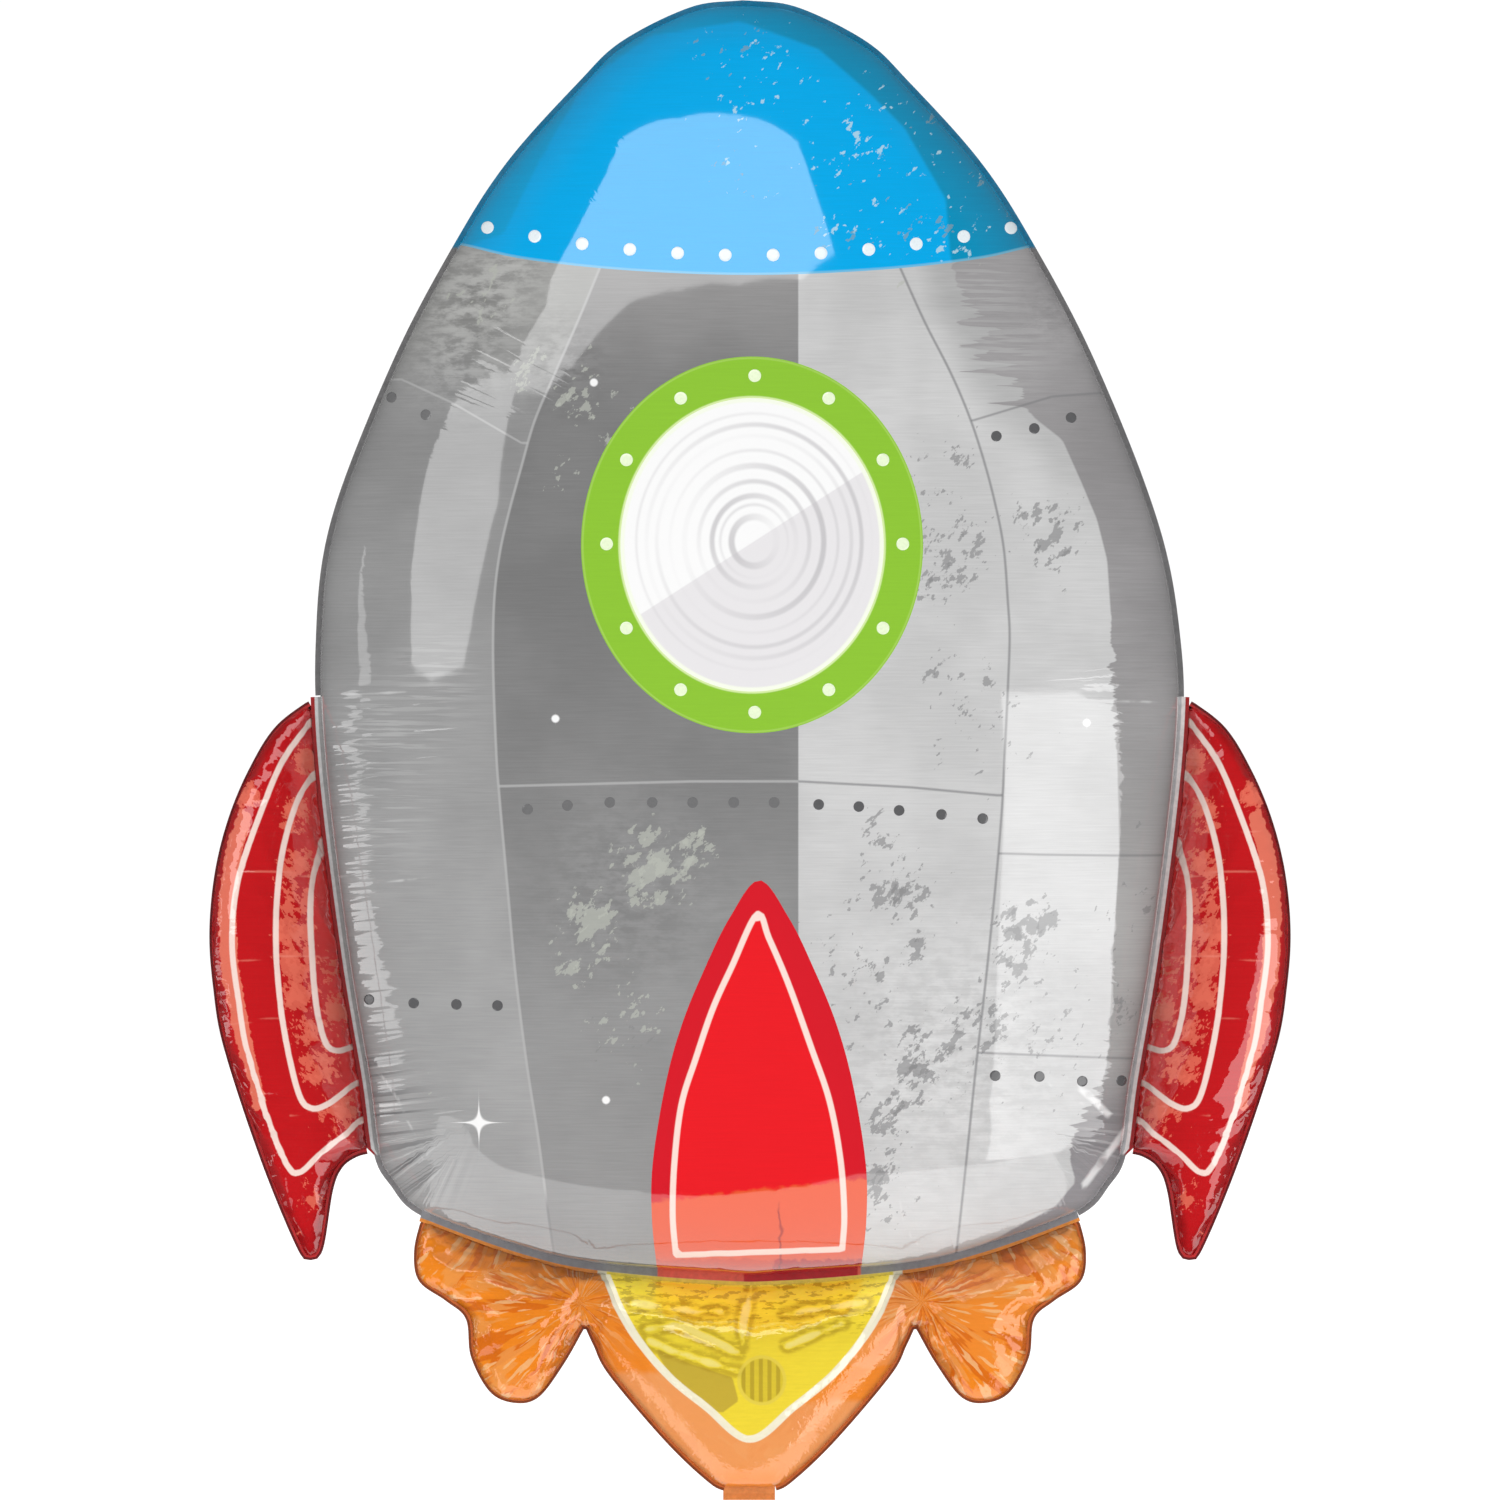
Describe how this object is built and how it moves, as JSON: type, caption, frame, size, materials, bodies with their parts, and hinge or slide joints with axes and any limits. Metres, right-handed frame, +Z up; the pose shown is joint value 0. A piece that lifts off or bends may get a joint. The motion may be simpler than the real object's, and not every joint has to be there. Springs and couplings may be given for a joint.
{
  "type": "rocket-shaped foil balloon",
  "caption": "Inflated rocket-shaped foil balloon with a coloured nose, a round porthole print, side fin chambers, a flame tail and a fill valve strip.",
  "frame": {"origin": "middle of the lower end of the fill valve strip at the tip of the flame tail, where the balloon is held", "axes": "+Z up through the nose, -Y towards the printed front seen in the picture, +X to the viewer's right, seam plane at Y = 0"},
  "size_m": [0.532, 0.28, 0.7371],
  "materials": {
    "film_blue": "printed metallised film, glossy",
    "film_silver": "printed metallised film, glossy, worn metal print",
    "film_green": "printed metallised film, glossy",
    "film_white": "printed metallised film, glossy",
    "film_red": "printed metallised film, glossy, pale stripes",
    "film_orange": "printed metallised film, glossy, crumpled",
    "film_yellow": "printed metallised film, glossy, crumpled",
    "film_weld": "flat welded film, pale"
  },
  "bodies": {
    "root": {"nose_front": "film_blue", "nose_back": "film_blue", "hull_front": "film_silver", "hull_back": "film_silver", "porthole_ring_front": "film_green", "porthole_ring_back": "film_green", "porthole_pane_front": "film_white", "porthole_pane_back": "film_white", "centre_fin_front": "film_red", "centre_fin_back": "film_red", "fin_left_front": "film_red", "fin_left_back": "film_red", "fin_right_front": "film_red", "fin_right_back": "film_red", "flame_left_front": "film_orange", "flame_left_back": "film_orange", "flame_right_front": "film_orange", "flame_right_back": "film_orange", "flame_centre_front": "film_orange", "flame_centre_back": "film_orange", "flame_core_front": "film_yellow", "flame_core_back": "film_yellow", "seam_top": "film_weld", "seam_left": "film_weld", "seam_right": "film_weld", "seam_bottom": "film_weld", "rim_fin_left": "film_weld", "rim_fin_right": "film_weld", "rim_flame_left": "film_weld", "rim_flame_right": "film_weld", "fill_valve": "film_weld"}
  },
  "joints": []
}
